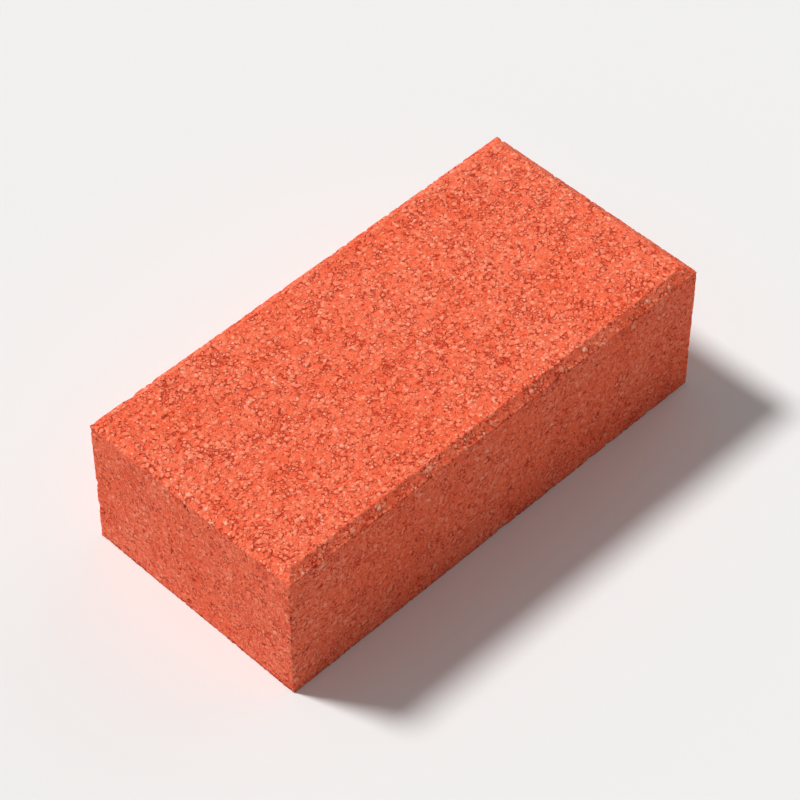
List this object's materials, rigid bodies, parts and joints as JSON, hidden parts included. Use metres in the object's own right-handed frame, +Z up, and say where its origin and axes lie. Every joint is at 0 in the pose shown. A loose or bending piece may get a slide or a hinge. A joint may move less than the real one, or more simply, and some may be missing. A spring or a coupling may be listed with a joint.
{
  "type": "concrete paving stone",
  "caption": "Rectangular through-coloured concrete paving stone with a bevel round its wearing face, laid on a sand bed in bond with narrow sand-filled joints.",
  "frame": {"origin": "middle of the bed face, the flat underside that the stone lies on", "axes": "+Z up from the bed face to the wearing face, X along the stone, Y across it"},
  "size_m": [0.197, 0.097, 0.06],
  "materials": {
    "concrete": "matte"
  },
  "bodies": {
    "root": {"paving_stone": "concrete"}
  },
  "joints": []
}
